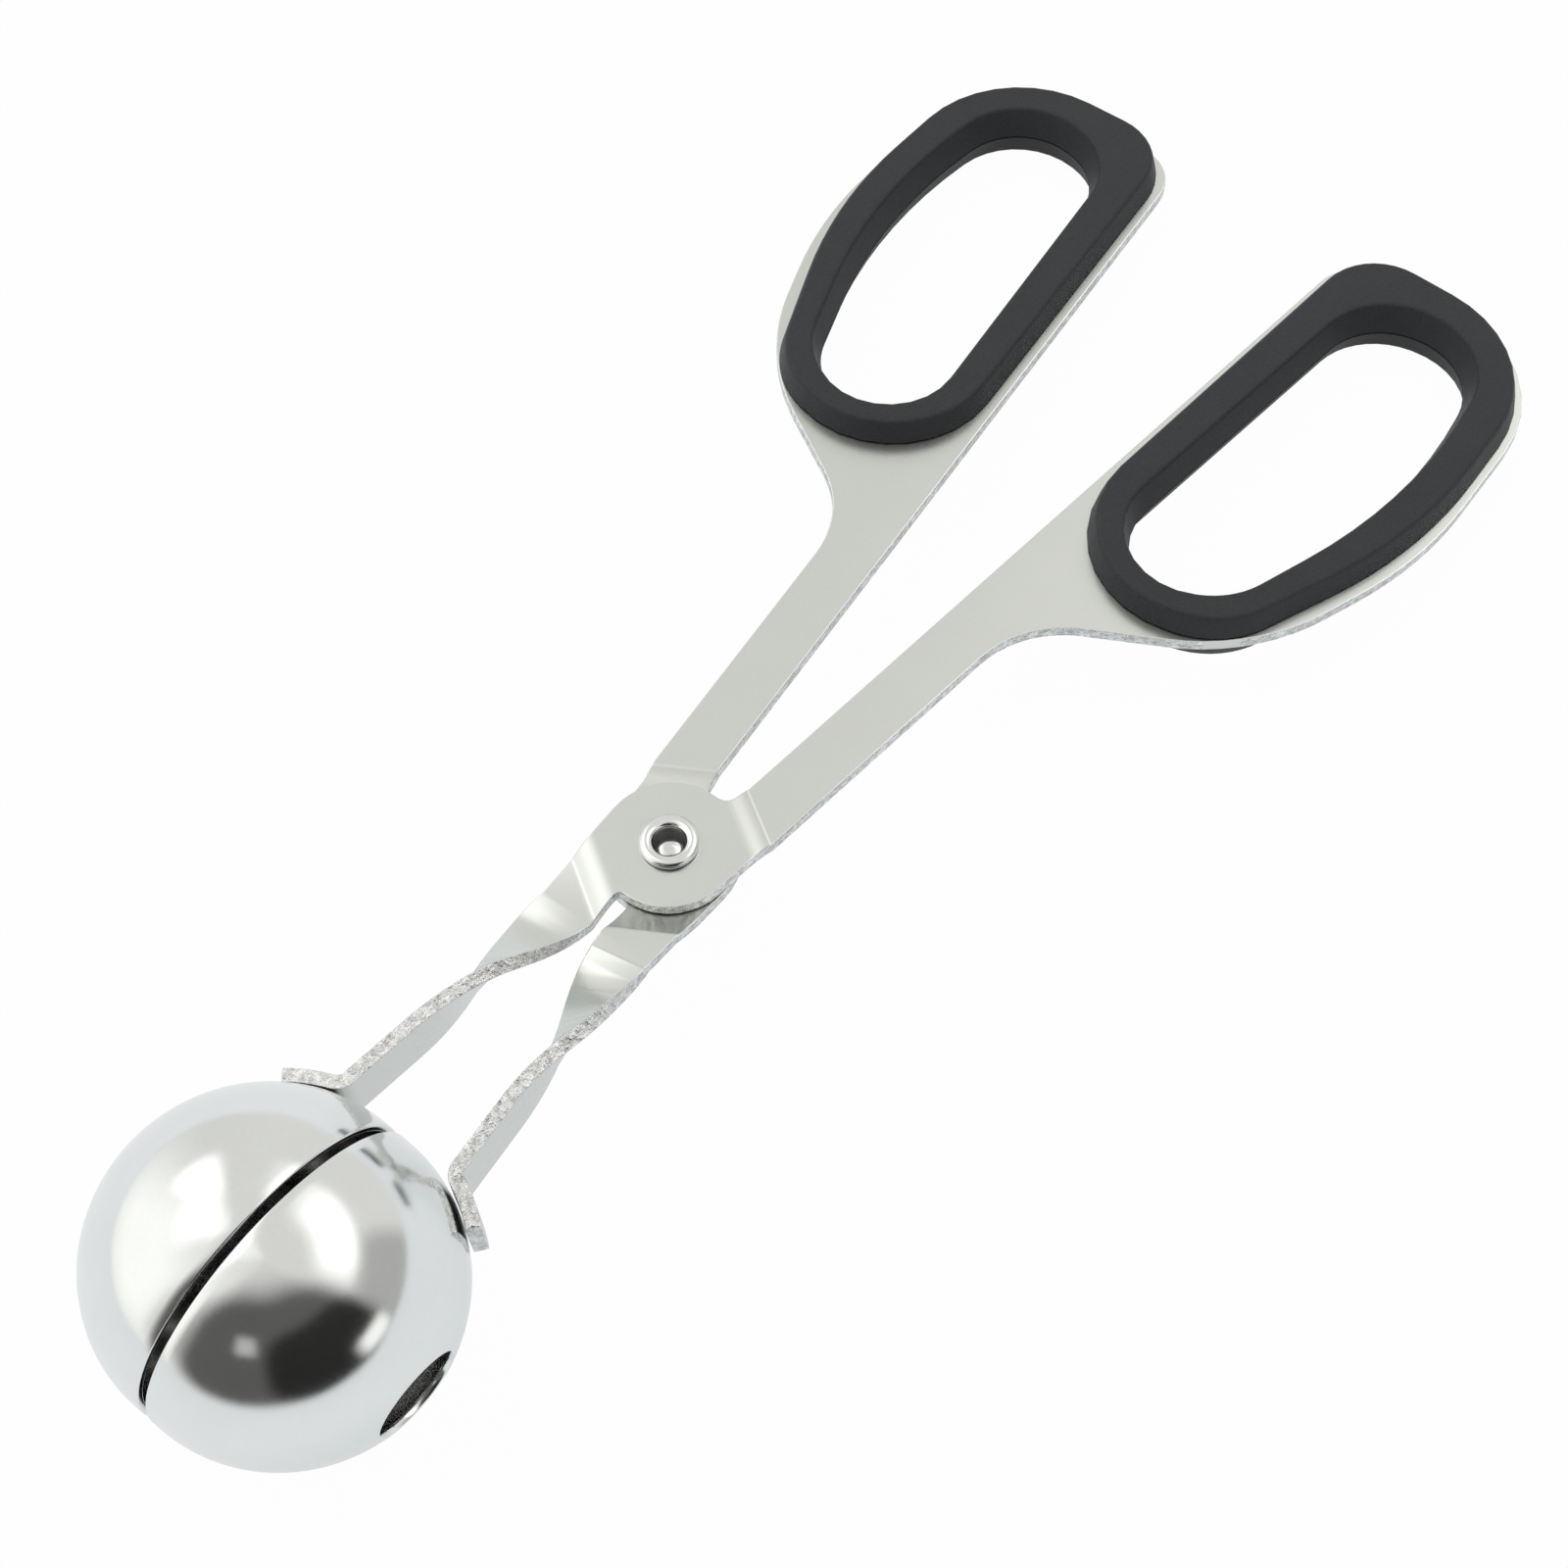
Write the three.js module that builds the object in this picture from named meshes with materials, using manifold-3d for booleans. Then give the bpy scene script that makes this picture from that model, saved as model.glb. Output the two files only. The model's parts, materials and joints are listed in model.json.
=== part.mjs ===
// Meatball scoop: two stamped steel arms that cross on a hollow rivet, each with a half-ball cup and a finger grip.
// Millimetres. X runs from the ball to the handles, Y to the handle of the lower arm, Z up from the table.
import * as THREE from 'three';
import { mergeVertices } from 'three/addons/utils/BufferGeometryUtils.js';
import Module from 'manifold-3d';

const wasm = await Module();
wasm.setup();

const DEG = Math.PI / 180;

// Clearances
const SEAT_GAP = 0.2;
const SLIP_GAP = 0.3;

// Sheet steel arm
const SHEET = 2;
const BOSS_RADIUS = 9.5;
const BOSS_LIFT = SHEET / 2 + SLIP_GAP / 2;
const JOGGLE_ANGLE = -31 * DEG;
const JOGGLE_START = 8.8;
const JOGGLE_END = 13;
const SHANK_SLOPE = 0.103;
const INNER_SLOPE = 0.0985;
const INNER_OFFSET = 1.2;
const JAW_WIDTH = 8.2;
const JAW_INNER = 0.8;
const JAW_FLAT_END = -15.3;
const JAW_TWIST_LENGTH = 26;
const JAW_SPLAY = 0.12;

// Course of the jaw from its flat root to its bend: share of the length, share of the spread
const JAW_COURSE = [
  [0, 0],
  [0.15, 0.2],
  [0.34, 0.5],
  [0.64, 0.71],
  [1, 1],
];

// Plate round the finger loop: where it leaves the shank and ends, and how far it spreads from the tool's middle
const LOOP_START = 58.6;
const LOOP_END = 144.4;
const LOOP_SPREAD = 55.1;

// Corners of the plate: place along the tool, then side place and radius as shares of the spread
const LOOP_CORNERS = [
  [74.5, 0.804, 0.617],
  [102.5, 0.992, 1.089],
  [150.8, 0.969, 0.381],
];

// Ball of two cups
const BALL_RADIUS = 22;
const BALL_DISTANCE = 74.4;
const CUP_WALL = 1;
const CUP_GAP = 1.2;
const CUP_SKIRT = 1.4;
const CUP_HOLE_RADIUS = 6.1;
const CUP_CENTRE = CUP_GAP / 2 + CUP_SKIRT;
const CUP_LEAN = 5.5 * DEG;

// Welded foot on the cup
const FOOT_START = 22 * DEG;
const FOOT_END = 38 * DEG;
const BEND_RADIUS = 2.1;

// Hollow rivet
const RIVET_RADIUS = 2.9;
const RIVET_BORE_RADIUS = 2.2;
const RIVET_RING_RADIUS = 4.1;
const RIVET_RING_HEIGHT = 1.1;
const RIVET_HEAD_RADIUS = 4.8;
const RIVET_HEAD_HEIGHT = 1.3;
const RIVET_FLOOR = -0.8;

// Finger grip of two half rings
const GRIP_TOP_HEIGHT = 5;
const GRIP_BOTTOM_HEIGHT = 4.3;
const GRIP_DRAFT = 1;
const GRIP_INNER_DRAFT = 1.3;
const GRIP_EDGE = 0.6;
const GRIP_TONGUE = 2.4;
const CORNER_STEPS = 9;

// Inner and outer edge of the grip's face, in the same form as the corners of the plate
const GRIP_INNER = [
  [64.5, 0.265, 0.2],
  [137.7, 0.414, 0.218],
  [141.7, 0.802, 0.218],
  [108.6, 0.891, 1.452],
  [77.7, 0.691, 0.236],
];
const GRIP_OUTER = [
  [64.6, 0.185, 0.29],
  [145.6, 0.322, 0.172],
  [144.7, 0.93, 0.345],
  [103.5, 0.956, 1.27],
  [72.7, 0.724, 0.254],
];

const STEEL = { color: 0xc6c8c3, roughness: 0.28, metalness: 1 };
const POLISHED = { color: 0xd2d4d4, roughness: 0.12, metalness: 1 };
const PLASTIC = { color: 0x35373a, roughness: 0.75, metalness: 0 };

// Helpers for solids

function toManifold(geometry) {
  const bare = geometry.clone();
  bare.deleteAttribute('normal');
  bare.deleteAttribute('uv');
  const merged = mergeVertices(bare, 1e-4);
  return new wasm.Manifold(new wasm.Mesh({
    numProp: 3,
    vertProperties: new Float32Array(merged.attributes.position.array),
    triVerts: new Uint32Array(merged.index.array),
  }));
}

function toGeometry(solid) {
  const mesh = solid.getMesh();
  const geometry = new THREE.BufferGeometry();
  geometry.setAttribute('position', new THREE.BufferAttribute(new Float32Array(mesh.vertProperties), 3));
  geometry.setIndex(new THREE.BufferAttribute(new Uint32Array(mesh.triVerts), 1));
  return geometry;
}

// A polygon with every corner rounded; where two roundings would meet, both take their share of the edge between them.
// Each point carries the outward normal of a convex outline.
function roundedOutline(corners) {
  const count = corners.length;
  const bends = corners.map((here, i) => {
    const at = new THREE.Vector2(here[0], here[1]);
    const [before, after] = [corners[(i + count - 1) % count], corners[(i + 1) % count]];
    const back = new THREE.Vector2(before[0], before[1]).sub(at);
    const ahead = new THREE.Vector2(after[0], after[1]).sub(at);
    const half = Math.acos(THREE.MathUtils.clamp(back.dot(ahead) / back.length() / ahead.length(), -1, 1)) / 2;
    return { at, back, ahead, half, edge: ahead.length(), reach: here[2] / Math.tan(half) };
  });
  const room = bends.map((bend, i) => 0.98 * bend.edge / (bend.reach + bends[(i + 1) % count].reach));
  const points = [];
  bends.forEach(({ at, back, ahead, half, reach }, i) => {
    if (reach === 0) {
      points.push({ at, normal: new THREE.Vector2() });
      return;
    }
    const tangent = reach * Math.min(1, room[i], room[(i + count - 1) % count]);
    back.setLength(tangent);
    ahead.setLength(tangent);
    const centre = back.clone().add(ahead).setLength(tangent / Math.cos(half)).add(at);
    const first = back.add(at).sub(centre);
    const last = ahead.add(at).sub(centre);
    const turn = Math.atan2(first.cross(last), first.dot(last));
    for (let k = 0; k <= CORNER_STEPS; k++) {
      const spoke = first.clone().rotateAround(new THREE.Vector2(), turn * k / CORNER_STEPS);
      points.push({ at: spoke.clone().add(centre), normal: spoke.normalize() });
    }
  });
  return points;
}

// A skin over rings of points; the rings either close on each other or end in flat caps
function skin(rings, closed) {
  const width = rings[0].length;
  const positions = rings.flat().flatMap((point) => point.toArray());
  const index = [];
  const spans = closed ? rings.length : rings.length - 1;
  for (let i = 0; i < spans; i++) {
    const next = (i + 1) % rings.length;
    for (let j = 0; j < width; j++) {
      const beside = (j + 1) % width;
      index.push(i * width + j, i * width + beside, next * width + beside);
      index.push(i * width + j, next * width + beside, next * width + j);
    }
  }
  if (!closed) {
    const end = (rings.length - 1) * width;
    for (let j = 1; j < width - 1; j++) {
      index.push(0, j + 1, j);
      index.push(end, end + j, end + j + 1);
    }
  }
  const geometry = new THREE.BufferGeometry();
  geometry.setAttribute('position', new THREE.Float32BufferAttribute(positions, 3));
  geometry.setIndex(index);
  return geometry;
}

function prism(points, low, high) {
  const geometry = new THREE.ExtrudeGeometry(new THREE.Shape(points), { depth: high - low, bevelEnabled: false });
  return geometry.translate(0, 0, low);
}

function circle(radius, count) {
  return Array.from({ length: count }, (_, i) => new THREE.Vector2(radius, 0)
    .rotateAround(new THREE.Vector2(), 2 * Math.PI * i / count));
}

function finish(geometry, name, look) {
  const mesh = new THREE.Mesh(geometry, new THREE.MeshStandardMaterial(look));
  mesh.name = name;
  return mesh;
}

// Stamped arm

function spreadCorners(corners) {
  return corners.map(([along, side, radius]) => [along, -side * LOOP_SPREAD, radius * LOOP_SPREAD]);
}

// Outline of the flat blank, from the jaw round the boss and the finger loop
function blankOutline() {
  const outer = (x) => -(BOSS_RADIUS * Math.hypot(1, SHANK_SLOPE) + SHANK_SLOPE * x);
  const inner = (x) => -(INNER_OFFSET + INNER_SLOPE * x);
  const jawOuter = JAW_INNER + JAW_WIDTH;
  return roundedOutline([
    [JAW_FLAT_END, jawOuter, 0],
    [JAW_FLAT_END, JAW_INNER, 0],
    [-BOSS_RADIUS, JAW_INNER, JAW_INNER],
    [-BOSS_RADIUS, outer(-BOSS_RADIUS), BOSS_RADIUS],
    [LOOP_START, outer(LOOP_START), 16.5],
    ...spreadCorners(LOOP_CORNERS),
    [LOOP_END, inner(LOOP_END), 7.5],
    [BOSS_RADIUS, inner(BOSS_RADIUS), -0.8 * inner(BOSS_RADIUS)],
    [BOSS_RADIUS, BOSS_RADIUS + 0.4, BOSS_RADIUS],
  ]).map((point) => point.at);
}

// The sheet seen from its side: lifted at the boss, sloping down ever steeper to a fold on both sides of it
function joggledSheet() {
  const reach = 200;
  const rampSteps = 7;
  const ramp = Array.from({ length: rampSteps + 1 }, (_, i) => [
    THREE.MathUtils.lerp(JOGGLE_START, JOGGLE_END, i / rampSteps),
    BOSS_LIFT * (1 - (i / rampSteps) ** 2),
  ]);
  const rise = ramp.map(([along, up]) => [-along, up]).reverse();
  const line = [[-reach, 0], ...rise, ...ramp, [reach, 0]];
  const under = line.map(([along, up]) => new THREE.Vector2(along, up - SHEET / 2));
  const over = line.map(([along, up]) => new THREE.Vector2(along, up + SHEET / 2)).reverse();
  const along = new THREE.Vector3(Math.cos(JOGGLE_ANGLE), Math.sin(JOGGLE_ANGLE), 0);
  const up = new THREE.Vector3(0, 0, 1);
  const across = along.clone().cross(up);
  return prism([...under, ...over], -reach, reach)
    .applyMatrix4(new THREE.Matrix4().makeBasis(along, up, across));
}

// Middle line of the jaw strip with its twist, then the bend and the foot that follows the cup
function jawStations() {
  const middle = JAW_INNER + JAW_WIDTH / 2;
  const ball = new THREE.Vector2(-BALL_DISTANCE, CUP_CENTRE);
  const footRadius = BALL_RADIUS + SEAT_GAP + SHEET / 2;
  const footAt = (angle) => new THREE.Vector2(Math.cos(angle), Math.sin(angle)).multiplyScalar(footRadius).add(ball);
  const footStart = footAt(FOOT_START);
  const footHeading = new THREE.Vector2(-Math.sin(FOOT_START), Math.cos(FOOT_START));
  const shankHeading = new THREE.Vector2(-1, JAW_SPLAY).normalize();
  const turn = Math.acos(shankHeading.dot(footHeading));
  const corner = footStart.clone().addScaledVector(footHeading, -BEND_RADIUS * Math.tan(turn / 2));
  const bendStart = corner.clone().addScaledVector(shankHeading, -BEND_RADIUS * Math.tan(turn / 2));
  const bendCentre = bendStart.clone().add(new THREE.Vector2(-shankHeading.y, shankHeading.x).multiplyScalar(-BEND_RADIUS));
  const shank = new THREE.CatmullRomCurve3(JAW_COURSE.map(([length, spread]) => new THREE.Vector3(
    THREE.MathUtils.lerp(JAW_FLAT_END, bendStart.x, length),
    THREE.MathUtils.lerp(middle, bendStart.y, spread),
    0,
  )));
  const straight = new THREE.Vector2(-1, 0);
  const stations = [
    { at: new THREE.Vector2(JAW_FLAT_END + SHEET / 4, middle), heading: straight, twist: 0, share: 0.98 },
    { at: new THREE.Vector2(JAW_FLAT_END, middle), heading: straight, twist: 0 },
  ];
  const shankSteps = 26;
  for (let i = 1; i <= shankSteps; i++) {
    const at = shank.getPointAt(i / shankSteps);
    const heading = shank.getTangentAt(i / shankSteps);
    const share = THREE.MathUtils.clamp((JAW_FLAT_END - at.x) / JAW_TWIST_LENGTH, 0, 1);
    stations.push({ at: new THREE.Vector2(at.x, at.y), heading: new THREE.Vector2(heading.x, heading.y),
      twist: 90 * DEG * Math.sin(share * Math.PI / 2) ** 1.2 });
  }
  const bendSteps = 6;
  for (let i = 1; i <= bendSteps; i++) {
    const part = -turn * i / bendSteps;
    stations.push({ at: bendStart.clone().rotateAround(bendCentre, part),
      heading: shankHeading.clone().rotateAround(new THREE.Vector2(), part), twist: 90 * DEG });
  }
  const footSteps = 5;
  for (let i = 1; i <= footSteps; i++) {
    const angle = FOOT_START + (FOOT_END - FOOT_START) * i / footSteps;
    stations.push({ at: footAt(angle), heading: new THREE.Vector2(-Math.sin(angle), Math.cos(angle)), twist: 90 * DEG });
  }
  return stations;
}

// The twisted jaw strip, with a slim root inside the sheet: the edge towards the other arm turns upwards
function jawStrip() {
  const up = new THREE.Vector3(0, 0, 1);
  const rings = jawStations().map(({ at, heading, twist, share = 1 }) => {
    const side = new THREE.Vector3(heading.y, -heading.x, 0).normalize().negate();
    const wide = side.clone().multiplyScalar(Math.cos(twist)).addScaledVector(up, Math.sin(twist));
    const thick = side.clone().multiplyScalar(-Math.sin(twist)).addScaledVector(up, Math.cos(twist));
    return [[1, -1], [1, 1], [-1, 1], [-1, -1]].map(([w, t]) => new THREE.Vector3(at.x, at.y, 0)
      .addScaledVector(wide, share * w * JAW_WIDTH / 2)
      .addScaledVector(thick, share * t * SHEET / 2));
  });
  return skin(rings, false);
}

function gripOutline(corners, offset) {
  return roundedOutline(spreadCorners(corners)).map(({ at, normal }) => at.clone().addScaledVector(normal, offset));
}

function armGeometry() {
  const blank = toManifold(prism(blankOutline(), -20, 20));
  const sheet = toManifold(joggledSheet());
  const strip = toManifold(jawStrip());
  const loop = toManifold(prism(gripOutline(GRIP_INNER, GRIP_TONGUE + SEAT_GAP), -20, 20));
  const bore = toManifold(prism(circle(RIVET_RADIUS + SLIP_GAP, 36), -20, 20));
  return toGeometry(blank.intersect(sheet).add(strip).subtract(loop).subtract(bore));
}

// Half-ball cup with a short straight skirt at the rim and a round hole at its pole

function cupGeometry() {
  const steps = 12;
  const arc = (radius) => {
    const points = [];
    const end = Math.acos(CUP_HOLE_RADIUS / BALL_RADIUS);
    for (let i = 0; i <= steps; i++) {
      const angle = end * i / steps;
      points.push(new THREE.Vector2(radius * Math.cos(angle), CUP_SKIRT + radius * Math.sin(angle)));
    }
    return points;
  };
  const outside = [new THREE.Vector2(BALL_RADIUS, 0), ...arc(BALL_RADIUS)];
  const inside = [new THREE.Vector2(BALL_RADIUS - CUP_WALL, 0), ...arc(BALL_RADIUS - CUP_WALL)].reverse();
  const profile = [...outside, ...inside, outside[0].clone()];
  return new THREE.LatheGeometry(profile, 44)
    .translate(0, CUP_GAP / 2, 0)
    .rotateX(CUP_LEAN)
    .translate(-BALL_DISTANCE, 0, 0);
}

// Half of a finger grip: a flange on the plate and a tongue into the loop, above the plate or below it

function gripGeometry(height, side) {
  const seat = SHEET / 2 + SEAT_GAP;
  const section = [
    [GRIP_INNER, -GRIP_INNER_DRAFT, SEAT_GAP / 2],
    [GRIP_INNER, GRIP_TONGUE, SEAT_GAP / 2],
    [GRIP_INNER, GRIP_TONGUE, seat],
    [GRIP_OUTER, GRIP_DRAFT, seat],
    [GRIP_OUTER, GRIP_EDGE / 4, height - GRIP_EDGE],
    [GRIP_OUTER, -GRIP_EDGE / 4, height - GRIP_EDGE / 4],
    [GRIP_OUTER, -GRIP_EDGE, height],
    [GRIP_INNER, GRIP_EDGE, height],
    [GRIP_INNER, GRIP_EDGE / 4, height - GRIP_EDGE / 4],
    [GRIP_INNER, -GRIP_EDGE / 4, height - GRIP_EDGE],
  ];
  if (side < 0) {
    section.reverse();
  }
  const loops = section.map(([corners, offset, up]) => gripOutline(corners, offset)
    .map((point) => new THREE.Vector3(point.x, point.y, up * side)));
  return skin(loops[0].map((_, i) => loops.map((loop) => loop[i])), true);
}

// Hollow rivet with a low head below and a rolled ring above

function rivetGeometry() {
  const top = BOSS_LIFT + SHEET / 2 + SEAT_GAP;
  const profile = [
    new THREE.Vector2(0, RIVET_FLOOR),
    new THREE.Vector2(RIVET_BORE_RADIUS * 0.6, RIVET_FLOOR + 0.15),
    new THREE.Vector2(RIVET_BORE_RADIUS, RIVET_FLOOR + 0.6),
    new THREE.Vector2(RIVET_BORE_RADIUS, top + 0.3),
  ];
  const rollMiddle = (RIVET_BORE_RADIUS + RIVET_RING_RADIUS) / 2;
  const rollHalf = (RIVET_RING_RADIUS - RIVET_BORE_RADIUS) / 2;
  const rollSteps = 8;
  for (let i = 1; i <= rollSteps; i++) {
    const angle = Math.PI * (1 - i / rollSteps);
    profile.push(new THREE.Vector2(rollMiddle + rollHalf * Math.cos(angle),
      top + 0.3 + (RIVET_RING_HEIGHT - 0.3) * Math.sin(angle)));
  }
  profile.push(
    new THREE.Vector2(RIVET_RING_RADIUS - 0.1, top),
    new THREE.Vector2(RIVET_RADIUS, top),
    new THREE.Vector2(RIVET_RADIUS, -top),
    new THREE.Vector2(RIVET_HEAD_RADIUS, -top),
    new THREE.Vector2(RIVET_HEAD_RADIUS, -top - 0.4),
    new THREE.Vector2(RIVET_HEAD_RADIUS * 0.85, -top - RIVET_HEAD_HEIGHT * 0.75),
    new THREE.Vector2(RIVET_HEAD_RADIUS * 0.45, -top - RIVET_HEAD_HEIGHT * 0.97),
    new THREE.Vector2(0, -top - RIVET_HEAD_HEIGHT),
  );
  return new THREE.LatheGeometry(profile.reverse(), 36).rotateX(Math.PI / 2);
}

// Assembly

function half(name, arm, up) {
  const group = new THREE.Group();
  group.add(finish(arm, `arm_${name}`, STEEL));
  group.add(finish(cupGeometry(), `cup_${name}`, POLISHED));
  group.add(finish(gripGeometry(GRIP_TOP_HEIGHT, up), `grip_${name}_top`, PLASTIC));
  group.add(finish(gripGeometry(GRIP_BOTTOM_HEIGHT, -up), `grip_${name}_bottom`, PLASTIC));
  return group;
}

// The lower arm is the same stamping turned over; the tool lies on the ball and the ends of its grips
const tool = new THREE.Group();
const armShape = armGeometry();
const upper = half('upper', armShape, 1);
const lower = half('lower', armShape, -1);
lower.rotation.x = Math.PI;
tool.add(upper, lower, finish(rivetGeometry(), 'rivet', POLISHED));

const reach = Math.max(...gripOutline(GRIP_OUTER, 0).map((point) => point.x)) + BALL_DISTANCE;
const ballBottom = BALL_RADIUS + CUP_CENTRE * Math.sin(CUP_LEAN);
tool.rotation.y = Math.asin(ballBottom / Math.hypot(reach, GRIP_BOTTOM_HEIGHT)) - Math.atan2(GRIP_BOTTOM_HEIGHT, reach);

const part = new THREE.Group();
part.add(tool);
part.updateMatrixWorld(true);
const box = new THREE.Box3().setFromObject(part, true);
tool.position.set(-(box.min.x + box.max.x) / 2, -(box.min.y + box.max.y) / 2, -box.min.z);

export default part;
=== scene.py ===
"""Looks of a meatball scoop: satin arms, a polished ball of two cups, a hollow rivet and dark grips."""

import json
import logging
import math
from dataclasses import dataclass
from enum import Enum

import bpy
from mathutils import Euler, Matrix, Vector


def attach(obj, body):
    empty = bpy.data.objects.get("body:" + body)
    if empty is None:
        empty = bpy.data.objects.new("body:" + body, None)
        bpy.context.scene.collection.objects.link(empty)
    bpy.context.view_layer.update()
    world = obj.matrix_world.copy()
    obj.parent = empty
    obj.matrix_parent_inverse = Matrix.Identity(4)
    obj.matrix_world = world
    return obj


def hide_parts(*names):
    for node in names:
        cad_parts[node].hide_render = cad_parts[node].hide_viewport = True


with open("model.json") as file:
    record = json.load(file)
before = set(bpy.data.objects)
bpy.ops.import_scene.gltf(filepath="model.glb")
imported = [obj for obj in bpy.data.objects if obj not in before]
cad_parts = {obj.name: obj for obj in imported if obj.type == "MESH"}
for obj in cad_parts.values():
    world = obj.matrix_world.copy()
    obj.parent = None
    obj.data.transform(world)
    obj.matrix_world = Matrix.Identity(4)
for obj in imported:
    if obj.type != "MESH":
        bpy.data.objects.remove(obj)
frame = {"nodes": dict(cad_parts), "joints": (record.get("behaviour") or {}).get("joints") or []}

LOG = logging.getLogger("scoop")
MM = 0.001
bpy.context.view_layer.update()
# From the pivot to the ball's middle in millimetres
BALL_DISTANCE = 74.4
# Modelling limits
MERGE_DISTANCE = 0.002 * MM
FLAT_ANGLE = math.radians(0.4)
FACE_WEIGHT = 90


class Half(Enum):
    """The two halves of the tool; the lower one is the upper one turned over."""

    UPPER = "upper"
    LOWER = "lower"

    @property
    def body(self) -> str:
        """Name of the moving body that this half belongs to."""
        return f"{self.value}_half"


class Slot(Enum):
    """Material slots of the record."""

    STEEL = "steel"
    POLISHED = "polished"
    GRIP = "grip"


# Place of the tool


@dataclass(frozen=True)
class ToolPlane:
    """The tool's own plane, with X along the tool and Z along the pivot.

    Attributes:
        pivot: Middle of the pivot in metres.
        axis: Direction of the pivot.
    """

    pivot: Vector
    axis: Vector

    @classmethod
    def from_joint(cls, joint: dict) -> "ToolPlane":
        """Takes the plane from the hinge of the frame.

        Args:
            joint: The hinge's entry in the record.

        Returns:
            The tool's plane.
        """
        return cls(Vector(joint["pos_m"]), Vector(joint["axis"]).normalized())

    def matrix(self, half: Half) -> Matrix:
        """Gives the place of one half, drawn as the upper half lies in the plane.

        Args:
            half: The half that is placed.

        Returns:
            The matrix from the half's own axes to the frame.
        """
        along = Vector((0, 1, 0)).cross(self.axis).normalized()
        turned = Matrix((along, self.axis.cross(along), self.axis)).transposed().to_4x4()
        over = Matrix.Rotation(math.pi, 4, "X") if half is Half.LOWER else Matrix.Identity(4)
        return Matrix.Translation(self.pivot) @ turned @ over


# Helpers for modelling


def deselect() -> None:
    """Leaves edit mode and deselects every object."""
    if bpy.context.object is not None and bpy.context.object.mode != "OBJECT":
        bpy.ops.object.mode_set(mode="OBJECT")
    bpy.ops.object.select_all(action="DESELECT")


def activate(piece: bpy.types.Object) -> None:
    """Makes one object the only selected and the active one."""
    deselect()
    piece.select_set(True)
    bpy.context.view_layer.objects.active = piece


def edit_all(piece: bpy.types.Object) -> None:
    """Enters edit mode on an object with all of its mesh selected."""
    activate(piece)
    bpy.ops.object.mode_set(mode="EDIT")
    bpy.ops.mesh.select_all(action="SELECT")


def apply_modifier(piece: bpy.types.Object, kind: str, **settings: object) -> None:
    """Adds a modifier to an object and applies it.

    Args:
        piece: The object.
        kind: Blender's name of the modifier type.
        **settings: Values of the modifier.
    """
    activate(piece)
    modifier = piece.modifiers.new(kind.title(), kind)
    for name, value in settings.items():
        setattr(modifier, name, value)
    bpy.ops.object.modifier_apply(modifier=modifier.name)


@dataclass(frozen=True)
class SoftEdge:
    """A rounded edge.

    Attributes:
        width: Its width in millimetres.
        steps: Faces across it.
        angle: Corners sharper than this many degrees are rounded.
        clamp: True where the width gives way to short faces.
    """

    width: float
    steps: int
    angle: float
    clamp: bool = False

    def apply(self, piece: bpy.types.Object) -> None:
        """Rounds the corners of an object.

        Args:
            piece: The object.
        """
        apply_modifier(
            piece,
            "BEVEL",
            width=self.width * MM,
            segments=self.steps,
            limit_method="ANGLE",
            angle_limit=math.radians(self.angle),
            use_clamp_overlap=self.clamp,
        )


def settle(piece: bpy.types.Object, place: Matrix) -> None:
    """Puts an object in place and moves its place into its mesh.

    Args:
        piece: The object, drawn about the origin.
        place: The matrix from the object's own axes to the frame.
    """
    activate(piece)
    piece.matrix_world = place
    bpy.ops.object.transform_apply(location=True, rotation=True, scale=True)


def smooth(piece: bpy.types.Object, degrees: float) -> None:
    """Shades an object smooth except across edges sharper than an angle."""
    activate(piece)
    bpy.ops.object.shade_smooth_by_angle(angle=math.radians(degrees))


def even_faces(piece: bpy.types.Object) -> None:
    """Keeps flat faces evenly shaded up to their softened edges."""
    apply_modifier(piece, "WEIGHTED_NORMAL", weight=FACE_WEIGHT, keep_sharp=True)


def traced(node: str, name: str) -> bpy.types.Object:
    """Starts a piece from the outline of a solid of the frame.

    Args:
        node: The solid's name.
        name: The new piece's name.

    Returns:
        A new object with the solid's shape and its points merged.
    """
    piece = bpy.data.objects.new(name, frame["nodes"][node].data.copy())
    bpy.context.scene.collection.objects.link(piece)
    piece.data.materials.clear()
    edit_all(piece)
    bpy.ops.mesh.remove_doubles(threshold=MERGE_DISTANCE)
    bpy.ops.object.mode_set(mode="OBJECT")
    return piece


def join_flat_faces(piece: bpy.types.Object) -> None:
    """Joins faces that lie flat beside each other and have one finish."""
    edit_all(piece)
    bpy.ops.mesh.dissolve_limited(angle_limit=FLAT_ANGLE, delimit={"MATERIAL"})
    bpy.ops.object.mode_set(mode="OBJECT")


def dress(piece: bpy.types.Object, half: Half, slot: Slot, *nodes: str) -> None:
    """Ties a finished piece to its body and hides the solids it stands for.

    Args:
        piece: The finished object.
        half: The half that it moves with.
        slot: Its material slot; not used.
        *nodes: The solids that it stands for.
    """
    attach(piece, half.body)
    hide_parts(*nodes)
    LOG.info("%s: %d faces", piece.name, len(piece.data.polygons))


# Node groups

GRAIN_DETAIL = 3.0
CLOUD_DETAIL = 5.0
NOISE_ROUGHNESS = 0.6
NOISE_RANGE = (0.3, 0.7)
CORNER_POWER = 4.0


def group_socket(
    tree: bpy.types.NodeTree, name: str, kind: str, output: bool, value: float | None = None
) -> None:
    """Adds a named socket to a node group.

    Args:
        tree: The group.
        name: The socket's name.
        kind: Float, Vector or Color.
        output: True for an output.
        value: The default of a number.
    """
    socket = tree.interface.new_socket(
        name=name, in_out="OUTPUT" if output else "INPUT", socket_type=f"NodeSocket{kind}"
    )
    if value is not None:
        socket.default_value = value


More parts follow.
